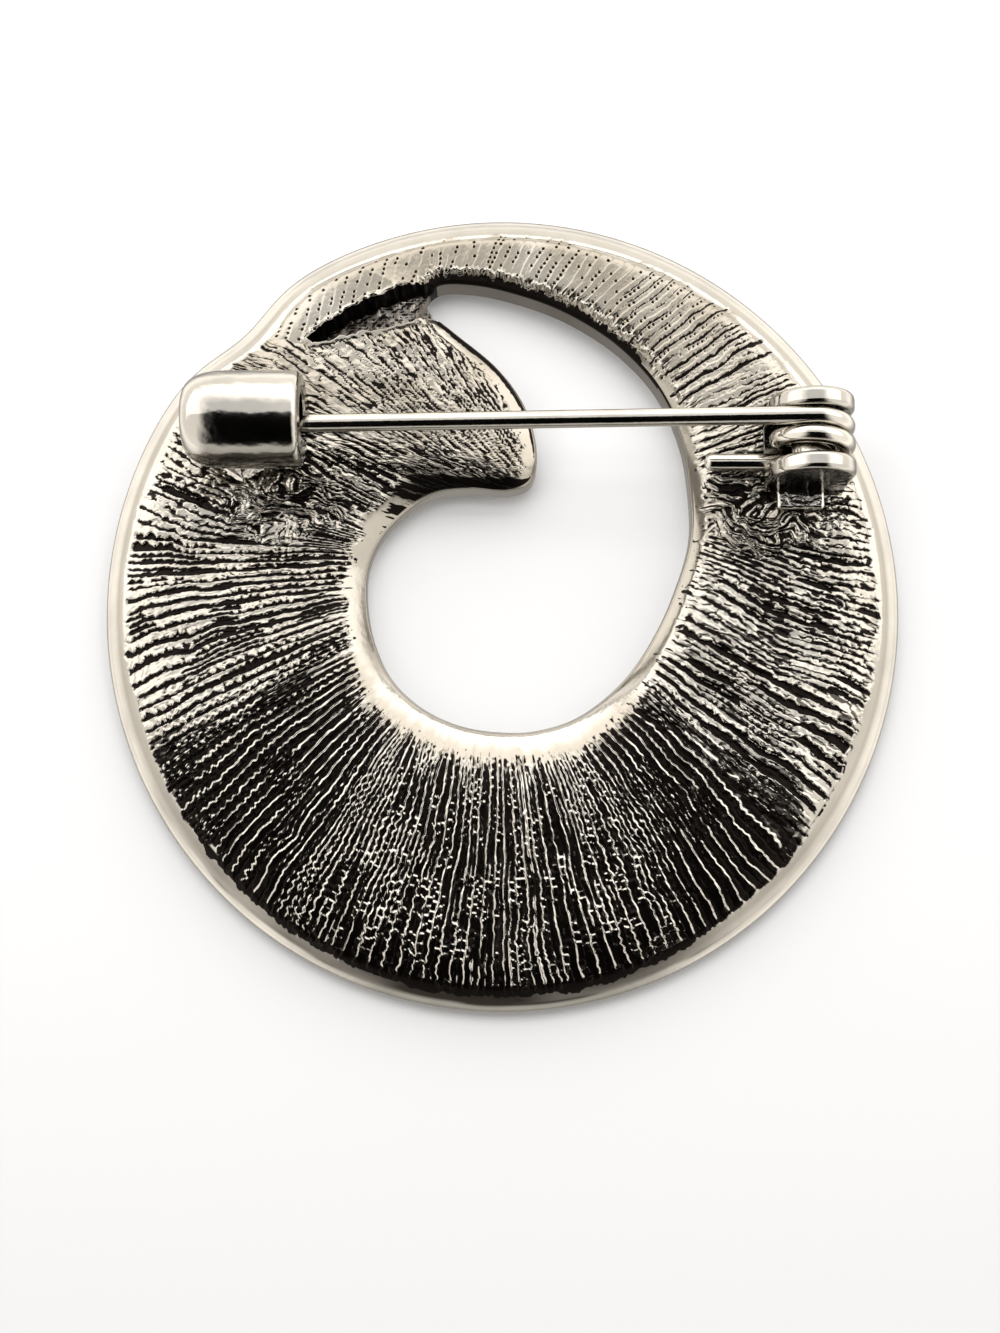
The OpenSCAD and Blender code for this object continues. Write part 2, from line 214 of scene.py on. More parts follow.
def rim(angle):
    """Points of the plate's outline, with its dent."""
    dent = DENT_DEPTH * np.exp(-(((angle - DENT_AT) / DENT_SPAN) ** 2))
    a = np.radians(angle)
    return np.stack([(PLATE_W / 2 - dent) * np.cos(a), (PLATE_L / 2 - dent) * np.sin(a)], -1)


def hole(t):
    return np.stack([along(t, HOLE_X), along(t, HOLE_Y)], -1)


def spread(count):
    """Section places t, spread evenly over the mean of the lengths along the hole and along the outline."""
    t = np.linspace(0, len(STATIONS), len(STATIONS) * 64 + 1)
    steps = [np.linalg.norm(np.diff(p, axis=0), axis=1) for p in (hole(t), rim(along(t, RIM_AT)))]
    length = np.concatenate([[0], np.cumsum((steps[0] + steps[1]) / 2)])
    return np.interp(np.arange(count) / count * length[-1], length, t), length[-1]


def facing(points, direction):
    """How squarely each direction crosses the curve through the points, from 0.5 to 1."""
    tangent = np.roll(points, -1, 0) - np.roll(points, 1, 0)
    tangent /= np.linalg.norm(tangent, axis=1)[:, None]
    return np.maximum(0.5, np.abs(tangent[:, 0] * direction[:, 1] - tangent[:, 1] * direction[:, 0]))


def polygon_distance(x, y, corners):
    """Distance to a polygon's edge, negative inside it."""
    best = np.full(x.shape, 1e9)
    inside = np.zeros(x.shape, bool)
    for (ax, ay), (bx, by) in zip(corners, np.roll(corners, -1, 0)):
        dx, dy = bx - ax, by - ay
        t = np.clip(((x - ax) * dx + (y - ay) * dy) / (dx * dx + dy * dy), 0, 1)
        best = np.minimum(best, np.hypot(x - ax - t * dx, y - ay - t * dy))
        if dy:
            inside ^= ((ay > y) != (by > y)) & (x < ax + (y - ay) * dx / dy)
    return np.where(inside, -best, best)


def sections(count):
    """Straight sections from the hole to the outline, with how squarely each meets the one and the other."""
    t, total = spread(count)
    inner, outer = hole(t), rim(along(t, RIM_AT))
    length = np.linalg.norm(outer - inner, axis=1)
    direction = (outer - inner) / length[:, None]
    face_in, face_out = facing(inner, direction), facing(outer, direction)
    return dict(
        t=t, total=total, at=along(t, RIM_AT) % 360, inner=inner, length=length, dir=direction,
        face_in=face_in, face_out=face_out,
    )


def zone(s, column):
    return np.interp(s["at"], ZONES[:, AT], ZONES[:, column], period=360)[:, None]


def ribs(phase, v, wide, look, side, wrap=0):
    """Height and darkness of cast ribs: phase counts them, v runs along them, wide is one rib's width, in mm, and look
    holds what RIB_LOOK names."""
    def field(k, length, seed):
        return noise(phase * k, v / length, seed, int(round(wrap * k)) if wrap else 64)

    split, slope, groove, line, bead, hatch, pits, gash = look
    p = phase + 0.45 * field(0.2, 5, 1) + 0.2 * field(0.5, 1.4, 2)
    p = p + 0.08 * field(1, 0.35, 14) + 0.03 * field(2, 0.15, 58)
    index = np.floor(p).astype(int)
    q = p - index
    if wrap:
        index %= wrap
    picks = np.random.default_rng(7).random((wrap or 256, 6))
    pick = picks[index % len(picks)]
    q = np.where(side(index, pick[..., 0]), q, 1 - q)
    # Here and there a second groove splits a rib in two
    halved = 1.2 * noise(index * 0.37 + 2, v / 2.2, 47) + 0.7 * (pick[..., 5] - 0.5) + 0.25 * field(1, 0.4, 48)
    halved = smoothstep(-0.25, 0.25, 1.7 * (split - 0.5) - halved)
    q2 = (q + 0.5) % 1
    patch = noise(index * 0.61 + 0.3, v / 2.4, 3) + 0.9 * (pick[..., 1] - 0.5)
    long = noise(index * 0.73 + 9.1, v / 3.2, 8) + 0.8 * (pick[..., 2] - 0.5)
    beaded = bead * smoothstep(-0.4, 0.2, patch)
    rope = v / (0.38 + 0.12 * pick[..., 4]) + 0.3 * q + pick[..., 5] + 0.5 * field(1, 0.9, 23)
    rope = np.cos(2 * math.pi * rope)
    rope = rope * (0.75 + 0.6 * field(1, 0.7, 28)) + 0.5 * field(2.3, 0.16, 29)
    # Broad side of each rib, then a groove
    h = slope * (0.5 + pick[..., 0]) * (q - 0.5 - halved * 0.5 * ((q > 0.5) - 0.5)) * np.minimum(wide, 0.9)
    cut = gash * smoothstep(0.05, 0.4, long)
    width = groove * (0.3 + 1.3 * pick[..., 3]) * (1 + 0.5 * field(2, 0.5, 21)) * np.minimum(1, 2.2 * wide)
    width = width + 0.75 * wide * cut * (1 + 0.4 * field(2, 0.7, 24))
    width = width * (1 - hatch * (1 - cut) * smoothstep(-0.05, 0.2, noise(index * 0.57, v / 0.5, 25)))
    off = (1 - q) * wide
    ragged = 0.07 * beaded * rope + 0.045 * field(3, 0.13, 41)
    opened = (1 - smoothstep(0.5 * width, 0.5 * width + 0.08, off + ragged)) * smoothstep(0, 0.05, width)
    width = halved * groove * (0.3 + pick[..., 1]) * (1 + 0.5 * field(2, 0.5, 49)) * np.minimum(1, 1.6 * wide)
    second = (1 - smoothstep(0.5 * width, 0.5 * width + 0.08, (1 - q2) * wide + ragged)) * smoothstep(0, 0.05, width)
    opened = np.maximum(opened, second)
    h += 0.02 * beaded * rope * smoothstep(0, 0.08, slope)
    h -= (0.05 + 0.12 * cut + 0.05 * beaded) * opened
    # Thin lines, steep on one side and wavy where beaded, and the links between them
    wave = 0.14 * beaded * rope + 0.03 * field(2, 0.2, 42)
    near = (q - 0.5 + wave) * wide
    other = (q2 - 0.5 - wave) * wide
    thin = smoothstep(-0.08, 0, near) * np.exp(-np.maximum(near, 0) / 0.3)
    thin += halved * smoothstep(-0.08, 0, other) * np.exp(-np.maximum(other, 0) / 0.2)
    h += line * thin * (0.4 + 0.8 * smoothstep(-0.6, 0.3, field(1, 0.8, 16)))
    linked = noise(index * 2.83 + 4, v / 0.8, 17) + 0.6 * (pick[..., 5] - 0.5)
    linked = smoothstep(0.03, 0.05, line) * smoothstep(-0.5, 0, linked)
    link = (v + 0.9 * wide * (q - 0.5) ** 2 * (pick[..., 2] - 0.3)) / (0.34 + 0.12 * pick[..., 0])
    link = link + 5 * pick[..., 3] + 0.35 * field(1, 0.8, 26) + 0.4 * (q > 0.5)
    link = link - np.floor(link)
    chain = smoothstep(0, 0.3, link) * (1 - smoothstep(0.3, 1, link))
    one_side = field(1, 0.5, 27) + 0.6 * np.sign(q - 0.5) * (pick[..., 1] - 0.5)
    linked = linked * (1 - smoothstep(0.01, 0.05, groove)) * smoothstep(-0.3, 0.1, one_side)
    h += 0.075 * linked * chain * smoothstep(0.04, 0.1, np.abs(near))
    # Between the thin lines and the links the surface is painted black, as painted shade for the dark that the lower
    # field's flats mirror
    spared = np.minimum(np.abs(near + 0.035), np.abs(other + 0.035) + 0.1 * (1 - halved))
    spared = np.minimum(spared, 0.5 * np.abs(link - 0.15) + 0.1 * (1 - linked))
    cover = 0.84 + 0.32 * field(4, 0.3, 45) + 0.15 * field(6, 0.1, 46)
    gap_shade = smoothstep(0.02, 0.065, line) * smoothstep(0, 0.075, spared) * cover
    # Nicks and low bars across the hatched parts
    h += hatch * (0.016 * field(1.5, 0.25, 18) + 0.01 * field(3, 0.15, 19))
    bend_p, bend_v = 1.2 * field(1.5, 0.35, 51), 1.2 * field(1.5, 0.4, 52)
    nick = noise(phase * 6 + bend_p, v / 0.36 + bend_v, 20, int(round(wrap * 6)) or 64)
    nick = hatch * smoothstep(0.3, 0.46, nick)
    h -= 0.03 * nick
    # Rows of pits
    row = np.floor(v / 0.25 + pick[..., 4])
    spot = np.hypot((v / 0.25 + pick[..., 4] - row - 0.5) * 0.25, (q - 0.5) * wide + 0.14)
    chance = np.random.default_rng(9).random((256, 128))[index % 256, row.astype(int) % 128]
    pit = pits * (chance > 0.15 + 0.5 * pick[..., 2]) * (1 - smoothstep(0.04, 0.09, spot))
    h -= 0.05 * pit
    fine = 0.6 * field(5, 0.5, 5) + 0.4 * field(4, 0.14, 6)
    h += 0.008 * fine
    return h, np.clip(np.maximum(opened, gap_shade) + pit + 0.65 * nick, 0, 1)


def relief(s, v, x, y):
    """Height of the cast relief and how dark it is painted, from patina in the hollows and painted shade between the
    thin lines, at each section and distance v from the hole.
    """
    pitch = zone(s, PITCH)[:, 0]
    phase = np.cumsum(s["total"] / len(pitch) / pitch)
    count = 20 * int(round(phase[-1] / 20))
    phase = (phase * count / phase[-1])[:, None]
    step = np.stack([np.roll(x, -1, 0) - np.roll(x, 1, 0), np.roll(y, -1, 0) - np.roll(y, 1, 0)])
    along_step = (step * s["dir"].T[:, :, None]).sum(0)
    across = np.sqrt(np.maximum((step**2).sum(0) - along_step**2, 1e-9))
    wide = across / ((np.roll(phase, -1, 0) - np.roll(phase, 1, 0)) % count)
    look = [zone(s, column) for column in RIB_LOOK]
    at = lambda index: np.interp(index % count + 0.5, phase[:, 0], s["at"])
    lean = np.tan(np.radians(zone(s, LEAN))) * (v - 0.5 * s["length"][:, None]) / pitch[:, None]
    # Steep sides face opposite ways on the left and the right half
    ring = ribs(phase + lean, v, wide, look, lambda i, r: np.abs(at(i) - 180) < 90 + 16 * (r - 0.5), count)
    # The head and the ring's tip have ribs of their own, on either side of a line along the recess
    dx, dy = x - FAN_AT[0], y - FAN_AT[1]
    reach = np.hypot(dx, dy)
    fan = np.degrees(np.arctan2(dy, dx)) / FAN_STEP
    one = np.ones_like(x)
    even = lambda look: [k * one for k in look]
    always = lambda i, r: r < 2
    head = ribs(fan, reach, reach * math.radians(FAN_STEP), even(HEAD_LOOK), always)
    rows = (x - ROW_LEAN * y) / ROW_PITCH
    tip = ribs(rows, y, ROW_PITCH * one, even(TIP_LOOK), always)
    seam = np.interp(x, *RECESS_MIDDLE) + 0.25 * noise(x * 1.5, 0 * x, 30)
    in_tip = smoothstep(-0.1, 0.1, y - seam) * (1 - smoothstep(-3.9, -3.3, x)) * (1 - smoothstep(12, 14, -x))
    left = x + 0.6 * noise(x, y, 31) + 0.9 * np.maximum(y - 9, 0)
    lower = y + 0.5 * noise(x, y, 32) + 0.25 * (x - 1)
    in_head = (1 - smoothstep(-0.1, 0.1, y - seam)) * smoothstep(-9.6, -8.8, left)
    in_head *= smoothstep(5.6, 6.6, lower) * (1 - smoothstep(2.5, 3.5, x))
    parts = []
    for a, b, c in zip(ring, head, tip):
        a = a * (1 - in_head) + b * in_head
        parts.append(a * (1 - in_tip) + c * in_tip)
    h, dark = parts
    # Solder has run over the ribs and set in swirled folds
    wander = noise(x * 0.8, y * 0.8, 33)
    wx = x + 0.6 * noise(x * 0.8, y * 0.8, 34) + 0.2 * noise(x * 2.3, y * 2.3, 35)
    wy = y + 0.6 * noise(x * 0.8, y * 0.8, 39) + 0.2 * noise(x * 2.3, y * 2.3, 40)
    rows = (FOLD_LEAN * wx + wy) / FOLD_PITCH
    folds, seams = ribs(rows, wx, FOLD_PITCH * one, even(FOLD_LOOK), lambda i, r: r < 0.7)
    crease = noise(wx * 2.1, wy * 4, 43)
    for cx, cy, rx, ry in SOLDER:
        inside = 1 - smoothstep(0.7, 1.1, np.hypot((x - cx) / rx, (y - cy) / ry) + 0.25 * wander)
        melt = 0.1 + 0.08 * wander + 0.05 * (1 - 3 * np.abs(crease)) + folds
        h = h * (1 - inside) + melt * inside
        soiled = np.maximum(seams, 1 - smoothstep(0.02, 0.07, np.abs(crease - 0.25)))
        soiled = np.maximum(soiled, smoothstep(0.5, 0.6, crease + 0.3 * wander))
        dark = dark * (1 - inside) + inside * np.clip(soiled, 0, 1)
    return h, dark


def plate_profile(s):
    """Each point's distance from the hole and height, from the foot of one wall over the back to the foot of the
    other; then where the field begins and ends, where the lip begins, and the crown."""
    length, face_in, face_out = (s[key][:, None] for key in ("length", "face_in", "face_out"))
    edge_in = np.minimum(along(s["t"], EDGE_W)[:, None] / face_in, 0.3 * length)
    lip_in = length - LIP_W / face_out
    edge_out = lip_in - ROUND_W / face_out
    crown = np.minimum(CROWN_H, (edge_out - edge_in) * 0.12)
    drop = 0.85 * zone(s, DROP)
    foot = EDGE_H - drop
    zero = 0 * length
    turn = np.linspace(0, 1, TURN_ROWS)[None, 1:]
    field = (np.arange(1, FIELD_ROWS + 1) / (FIELD_ROWS + 1))[None, :]
    fall = np.linspace(0, 1, ROUND_ROWS)[None, :]
    v = [zero, zero] + [zero + inward for _, inward in WALL_TOP]
    v += [TURN_IN + (edge_in - TURN_IN) * turn, edge_in + (edge_out - edge_in) * field]
    v += [edge_out + (lip_in - edge_out) * fall] + [lip_in + (length - lip_in) * share for share, _ in LIP]
    z = [zero, 0.5 * foot] + [foot - below for below, _ in WALL_TOP]
    z += [foot + drop * (1 - (1 - turn) ** 1.15), EDGE_H + crown * (1 - np.abs(2 * field - 1) ** 6)]
    z += [LIP_H + 0.2 + (EDGE_H - LIP_H - 0.2) * (1 - fall**1.5) + zero] + [height + zero for _, height in LIP]
    return np.concatenate(v, 1), np.concatenate(z, 1), edge_in, edge_out, lip_in, crown


def plate_grid(count):
    """Points of the plate's surface, and at each how black it is, from patina in the hollows and from painted shade,
    how much brown painted shade it has, and how tarnished it is.
    """
    s = sections(count)
    v, z, edge_in, edge_out, lip_in, crown = plate_profile(s)
    xy = s["inner"][:, None, :] + s["dir"][:, None, :] * v[..., None]
    x, y = xy[..., 0], xy[..., 1]
    h, dark = relief(s, v, x, y)
    at = s["at"][:, None]
    ring = np.arange(count)[:, None] / count
    # Noise with this many cells round the ring, and with this many to a millimetre
    uneven = lambda cells, seed: noise(ring * cells, v * 0, seed, cells)
    grain = lambda cells, seed: noise(x * cells, y * cells, seed)
    ragged = 0.14 * uneven(260, 11) + 0.14 * uneven(90, 15)
    inward = v - edge_in
    inner_mask = smoothstep(-0.15, 0.25, inward + ragged)
    # Where the relief is lowest, it and the dark between its lines set in further from the hole
    late = 0.75 * smoothstep(0.03, 0.06, zone(s, LINE))
    inner_dark = smoothstep(-0.15, 0.25 + late, inward + ragged + 0.5 * grain(7, 61))
    rim_shade = zone(s, RIM_SHADE)
    outer_mask = smoothstep(0, 0.3, edge_out + 0.1 + 0.35 * rim_shade - v + ragged)
    z = z + h * smoothstep(-0.15, 0.25 + 0.9 * late, inward + ragged) * outer_mask
    # Painted shade below the edge along the hole, where the edge faces away from the light, with a ragged end
    wall_shade, run = zone(s, WALL_SHADE), zone(s, EDGE_SHADE)
    shade_edge_noise = uneven(400, 37) + 0.8 * uneven(1000, 50)
    shade_edge_noise = (0.1 + 0.2 * (wall_shade < 0.6)) * shade_edge_noise
    shade_edge_noise = shade_edge_noise * np.where(run > 0, 1.8, np.where((run < -0.3) & (at < HEAD_TO), 0.12, 1))
    edge_shade = 1 - smoothstep(-0.05, 0.05, inward - run + shade_edge_noise)
    # Bright threads cross it here and there, and more of them where it ends
    thread = noise(ring * 640 + 0.6 * noise(ring * 0, v * 3, 59), v * 0.4, 60, 640)
    thread = smoothstep(0.52, 0.64, thread + 0.7 * np.clip(-run, 0, 1))
    edge_shade *= 1 - thread * smoothstep(0.12, 0.2, v) * (run > -1) * (run < 0.3) * (at > THREADS_FROM)
    # Painted shade on the rim, standing in for the reflection of the shadowed floor: black beside the field where the
    # field is dark, then a brown band and a line, and a bare edge outside
    over = (v - edge_out) / (lip_in - edge_out)
    patchy = 0.85 + 0.3 * noise(ring * 60, v * 1.5, 38, 60)
    band = smoothstep(0.1, 0.3, over) * (1 - smoothstep(0.8, 1.0, over))
    line = np.exp(-(((over - 0.95) / 0.07) ** 2)) * (0.6 + 0.6 * uneven(90, 53))
    painted_shade = np.clip(rim_shade * (1.15 * band * patchy + line), 0, 1)
    fringe = ragged + 0.12 * uneven(900, 57)
    reach = 0.6 * smoothstep(0.1, 0.9, rim_shade)
    beside = (1 - smoothstep(-0.1, 0, over - reach + 0.6 * fringe)) * smoothstep(-0.1, 0.1, over) * (rim_shade > 0.1)
    dark = np.maximum(np.maximum(dark * inner_dark, edge_shade) * outer_mask, beside)
    # Painted shade on the walls, black on their upper part where it is strongest, and the curled lip where the field
    # ends above them
    on_wall = np.arange(v.shape[1])[None, :] < WALL_ROWS
    dark = np.where(on_wall, smoothstep(0.5, 0.9, wall_shade) * (z > 0.8 * EDGE_H), dark)
    painted_shade = np.where(on_wall, 0.5 * wall_shade, painted_shade)
    curl = smoothstep(0.6, 1, wall_shade) * np.exp(-(((inward - 0.2 + shade_edge_noise) / 0.09) ** 2)) * (~on_wall)
    z += 0.06 * curl * (1 + uneven(300, 22))
    # The rough recess between the ring's tip and its head, with a curled lip above it and a smooth border below
    out = polygon_distance(x, y, RECESS) + 0.1 * grain(2.4, 54) + 0.07 * grain(5.5, 55)
    middle = np.interp(x, *RECESS_MIDDLE)
    above = smoothstep(-0.1, 0.1, y - middle) * (1 - smoothstep(-4.2, -3.4, x))
    above = above * np.exp(-(((out - 0.12) / 0.08) ** 2)) * (v < edge_out)
    z += 0.06 * above * (1 + grain(4, 56))
    border = (1 - smoothstep(0.12, 0.3, out)) * (1 - smoothstep(-4.2, -3.2, x)) * (v < edge_out) * (y < middle)
    z = z * (1 - border) + (EDGE_H + crown + 0.05) * border
    dark = dark * (1 - border)
    pit = 1 - smoothstep(-0.26, 0.04, out)
    rough = 0.07 * grain(3, 12) + 0.045 * grain(7, 13)
    floor = RECESS_FLOOR + rough
    z = np.where(z > floor, z * (1 - pit) + floor * pit, z)
    # In the recess, painted shadow in a band just inside its edge, and painted shade on its floor, darker towards the
    # left
    dark = np.maximum(dark * (1 - pit), smoothstep(-0.36, -0.22, out) * (1 - smoothstep(-0.02, 0.05, out)))
    painted_shade = painted_shade * (1 - pit) + pit * np.clip(0.45 - 0.05 * x + 3.5 * rough, 0, 1)
    # Tarnish on the field, a trace along the hole, a line on the rim, and none on the curled lips
    worn = zone(s, TARNISH)
    tarnish = worn * (0.85 + 0.3 * grain(0.7, 44)) * outer_mask * (1 - pit)
    tarnish = np.maximum(tarnish, 0.45 * smoothstep(0.02, 0.15, worn) * (1 - inner_mask))
    trace = late * smoothstep(-0.5, 0.1, inward + ragged) * (1 - smoothstep(0.2, 1.2, inward))
    step_line = 0.3 * (1 - smoothstep(0.5, 0.9, worn)) * (1 - smoothstep(0.45, 0.6, over))
    step_line = step_line + 0.5 * np.exp(-(((over - 0.55) / 0.1) ** 2))
    step_line = (1 - rim_shade) * step_line * (over > -0.2) * (1 - outer_mask)
    tarnish = np.maximum(np.maximum(tarnish, trace), step_line)
    tarnish *= 1 - 0.9 * np.clip(curl + above, 0, 1)
    return np.stack([x, y, z], -1), np.stack([dark, painted_shade, np.clip(tarnish, 0, 1)], -1)


def grid_normals(points):
    du = np.roll(points, -1, 0) - np.roll(points, 1, 0)
    dv = np.empty_like(points)
    dv[:, 1:-1] = points[:, 2:] - points[:, :-2]
    dv[:, 0], dv[:, -1] = points[:, 1] - points[:, 0], points[:, -1] - points[:, -2]
    n = np.cross(dv, du)
    return n / np.maximum(np.linalg.norm(n, axis=-1, keepdims=True), 1e-12)


def add_object(name, data, material=None):
    obj = bpy.data.objects.new(name, data)
    bpy.context.scene.collection.objects.link(obj)
    if material:
        data.materials.append(material)
    return obj


def build_mesh(name, points, faces, material, normals=None, finish_and_shade=None, sharp=None):
    """A mesh object from points in mm and faces with the same number of corners each."""
    faces = np.asarray(faces, np.int32)
    mesh = bpy.data.meshes.new(name)
    mesh.vertices.add(len(points))
    mesh.vertices.foreach_set("co", (np.asarray(points, np.float64) * MM).astype(np.float32).ravel())
    corners = faces.shape[1]
    mesh.loops.add(faces.size)
    mesh.loops.foreach_set("vertex_index", faces.ravel())
    mesh.polygons.add(len(faces))
    mesh.polygons.foreach_set("loop_start", np.arange(len(faces), dtype=np.int32) * corners)
    mesh.polygons.foreach_set("use_smooth", np.ones(len(faces), bool))
    mesh.update(calc_edges=True)
    mesh.validate()
    if finish_and_shade is not None:
        layer = mesh.color_attributes.new("finish_and_shade", "FLOAT_COLOR", "POINT")
        rgba = np.ones((len(points), 4), np.float32)
        rgba[:, :3] = finish_and_shade.reshape(-1, 3)
        layer.data.foreach_set("color", rgba.ravel())
    if normals is not None:
        mesh.normals_split_custom_set_from_vertices(normals.reshape(-1, 3).astype(np.float32))
    if sharp is not None:
        mesh.set_sharp_from_angle(angle=math.radians(sharp))
    return add_object(name, mesh, material)


def grid_faces(rows, columns):
    i = np.arange(rows - 1)[:, None] * columns + np.arange(columns - 1)[None, :]
    return np.stack([i, i + 1, i + columns + 1, i + columns], -1).reshape(-1, 4)


# Materials

# Colours painted on the plating: tarnish, painted shade, black for patina and for painted shade, and dirt
TARNISHED = (0.28, 0.25, 0.205, 1)
SHADE = (0.045, 0.036, 0.03, 1)
BLACK = (0.01, 0.008, 0.007, 1)
DIRT = (0.014, 0.011, 0.009, 1)


def new_material(name):
    m = bpy.data.materials.new(name)
    m.use_nodes = True
    return m, m.node_tree.nodes, m.node_tree.links, m.node_tree.nodes["Principled BSDF"]


def set_inputs(n, **inputs):
    for name, value in inputs.items():
        n.inputs[name.replace("_", " ")].default_value = value
    return n


def node(tree, kind, **inputs):
    return set_inputs(tree.nodes.new(kind), **inputs)


def ramp(tree, value, stops):
    """A colour ramp on a value, from stops as (position, colour)."""
    tone = tree.nodes.new("ShaderNodeValToRGB")
    for stop, (position, colour) in zip(tone.color_ramp.elements, stops):
        stop.position, stop.color = position, colour
    tree.links.new(value, tone.inputs["Fac"])
    return tone.outputs["Color"]


def plated_metal(name, bright=1.0, patina_and_shade=False, wrinkles=0.0, wave=0.0, dirt=0.0):
    """Nickel-coloured plating with a mottled polish; tarnish, patina and painted shade follow the colours painted on
    the casting's points.
    """
    m, nodes, links, bsdf = new_material(name)
    tree = m.node_tree
    bsdf.inputs["Metallic"].default_value = 1
    coord = nodes.new("ShaderNodeTexCoord").outputs["Object"]
    mottle = node(tree, "ShaderNodeTexNoise", Scale=420, Detail=5)
    links.new(coord, mottle.inputs["Vector"])
    nickel = lambda level: (level, 0.945 * level, 0.85 * level, 1)
    colour = ramp(tree, mottle.outputs["Fac"], ((0.3, nickel(0.5 * bright)), (0.7, nickel(0.62 * bright))))
    rough = node(tree, "ShaderNodeMapRange", To_Min=0.09, To_Max=0.17)
    links.new(mottle.outputs["Fac"], rough.inputs["Value"])
    rough = rough.outputs["Result"]

    def blend(factor, colour, other):
        mix = nodes.new("ShaderNodeMix")
        mix.data_type = "RGBA"
        mix.inputs["B"].default_value = other
        links.new(factor, mix.inputs["Factor"])
        links.new(colour, mix.inputs["A"])
        return mix.outputs["Result"]

    def roughen(factor, rough, amount):
        add = nodes.new("ShaderNodeMath")
        add.operation = "MULTIPLY_ADD"
        add.inputs[1].default_value = amount
        links.new(factor, add.inputs[0])
        links.new(rough, add.inputs[2])
        return add.outputs["Value"]

    if patina_and_shade:
        # The painted colours: blue is tarnish, green is painted shade, and red is black from patina and from painted
        # shade
        finish_and_shade = nodes.new("ShaderNodeVertexColor")
        finish_and_shade.layer_name = "finish_and_shade"
        channels = nodes.new("ShaderNodeSeparateColor")
        links.new(finish_and_shade.outputs["Color"], channels.inputs["Color"])
        crisp = node(tree, "ShaderNodeMapRange", From_Min=0.3, From_Max=0.62)
        crisp.interpolation_type = "SMOOTHSTEP"
        links.new(channels.outputs["Red"], crisp.inputs["Value"])
        colour = blend(channels.outputs["Blue"], colour, TARNISHED)
        rough = roughen(channels.outputs["Blue"], rough, 0.12)
        colour = blend(channels.outputs["Green"], colour, SHADE)
        colour = blend(crisp.outputs["Result"], colour, BLACK)
        rough = roughen(channels.outputs["Green"], roughen(crisp.outputs["Result"], rough, 0.25), 0.25)
    if dirt:
        spots = node(tree, "ShaderNodeTexNoise", Scale=900, Detail=4, Distortion=1.5)
        links.new(coord, spots.inputs["Vector"])
        seams = node(tree, "ShaderNodeMapRange", From_Min=0.5, From_Max=0.62, To_Max=dirt)
        links.new(spots.outputs["Fac"], seams.inputs["Value"])
        colour = blend(seams.outputs["Result"], colour, DIRT)
    links.new(colour, bsdf.inputs["Base Color"])
    links.new(rough, bsdf.inputs["Roughness"])
    normal = None
    for scale, strength, distance, bend in (
        (2600, 0.3, 0.00003, 0), (330, wave, 0.0004, 0), (1500, wrinkles, 0.0003, 1),
    ):
        if not strength:
            continue
        grain = node(tree, "ShaderNodeTexNoise", Scale=scale, Detail=3, Distortion=bend)
        links.new(coord, grain.inputs["Vector"])
        bump = node(tree, "ShaderNodeBump", Strength=strength, Distance=distance)
        links.new(grain.outputs["Fac"], bump.inputs["Height"])
        if normal:
            links.new(normal, bump.inputs["Normal"])
        normal = bump.outputs["Normal"]
    links.new(normal, bsdf.inputs["Normal"])
    return m


casting_metal = plated_metal("antiqued_and_shaded_plating", bright=0.76, patina_and_shade=True)
bright_metal = plated_metal("bright_plating", bright=0.78, wave=0.4)
solder_metal = plated_metal("plated_solder", bright=0.95, wrinkles=0.3, dirt=0.25)
ear_metal = plated_metal("plated_ears", bright=0.72, wave=0.4)
# A dark copy of the plating for painted shade, with dirt spots
shade_and_dirt_metal = plated_metal("plating_with_painted_shade_and_dirt", bright=0.22, wrinkles=0.12, dirt=0.5)
end_metal = plated_metal("tarnished_plating", bright=0.5, wrinkles=0.2)
wire_metal = plated_metal("plated_wire", bright=0.9)

# The cast plate

# Body, slot and replaced node of each piece of the casting
CASTING = ("plate", "plated_casting", "body_casting")


def finish_piece(obj, body, slot, node):
    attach(obj, body)
    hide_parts(node)


points, finish_and_shade = plate_grid(SECTIONS * FINER)
normals = grid_normals(points)
points, normals, finish_and_shade = (a[::FINER] for a in (points, normals, finish_and_shade))
rows = points.shape[1]
per = SECTIONS // SECTORS
for i in range(SECTORS):
    pick = np.arange(i * per, (i + 1) * per + 1) % SECTIONS
    piece = build_mesh(
        f"cast_back_{i + 1}", points[pick].reshape(-1, 3), grid_faces(per + 1, rows), casting_metal,
        normals=normals[pick], finish_and_shade=finish_and_shade[pick],
    )
    finish_piece(piece, *CASTING)

# The two rims and the pocket between them, seen from the front
under = sections(UNDER_SECTIONS)
outside, inside = under["length"] - RIM_W / under["face_out"], RIM_W / under["face_in"]
under_rows = [(under["length"], 0), (outside, 0), (outside, POCKET), (inside, POCKET), (inside, 0), (0 * inside, 0)]
under_points = np.stack([
    np.concatenate([under["inner"] + under["dir"] * v[:, None], np.full((len(v), 1), z)], 1) for v, z in under_rows
], 1)
under_points = np.concatenate([under_points, under_points[:1]])
piece = build_mesh(
    "front_rims", under_points.reshape(-1, 3), grid_faces(len(under_points), len(under_rows)), bright_metal, sharp=40
)
finish_piece(piece, *CASTING)


# Findings

# The hinge's soldered pieces are rooted at this height, inside the plate
ROOT_Z = 1.2

# The barrel's closed end is rounded over this much of its radius and its length, and its mouth through these points,
# as distance back from the end and down from the radius
CLOSED_H, CLOSED_REACH = 1.2, 2.2
MOUTH = ((0.34, 0), (0.2, 0.03), (0.1, 0.09), (0.03, 0.18), (0, 0.3))

# The solder under the barrel: its middle and the height that it reaches down to
TOE_X, TOE_Y, TOE_Z = -12.25, FOOT_Y[0] + 1.05, 1.5

